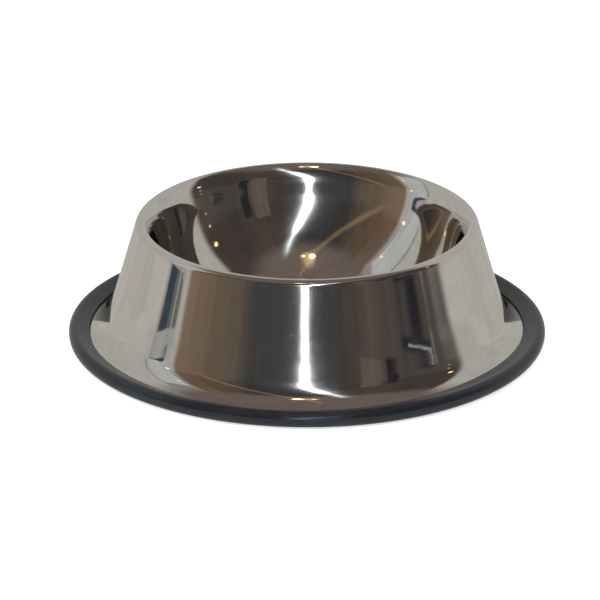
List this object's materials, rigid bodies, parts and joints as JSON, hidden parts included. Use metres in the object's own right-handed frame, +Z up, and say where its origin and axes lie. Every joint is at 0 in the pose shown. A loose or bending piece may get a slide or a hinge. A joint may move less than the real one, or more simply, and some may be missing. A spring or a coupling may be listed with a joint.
{
  "type": "non-tip pet bowl",
  "caption": "Round polished steel bowl for pets, with a drawn basin turned over at the rim into a flared skirt, gripped at its foot by a black rubber ring.",
  "frame": {"origin": "middle of the ring's sole, on the surface that the bowl stands on", "axes": "+Z up along the bowl's axis; the bowl is round, so +X and +Y are any two directions square to it"},
  "size_m": [0.22, 0.22, 0.0578],
  "materials": {
    "polished_steel": "stainless steel sheet, mirror polished with faint turning marks",
    "black_rubber": "satin moulded rubber"
  },
  "bodies": {
    "root": {"steel_bowl": "polished_steel", "rubber_ring": "black_rubber"}
  },
  "joints": []
}
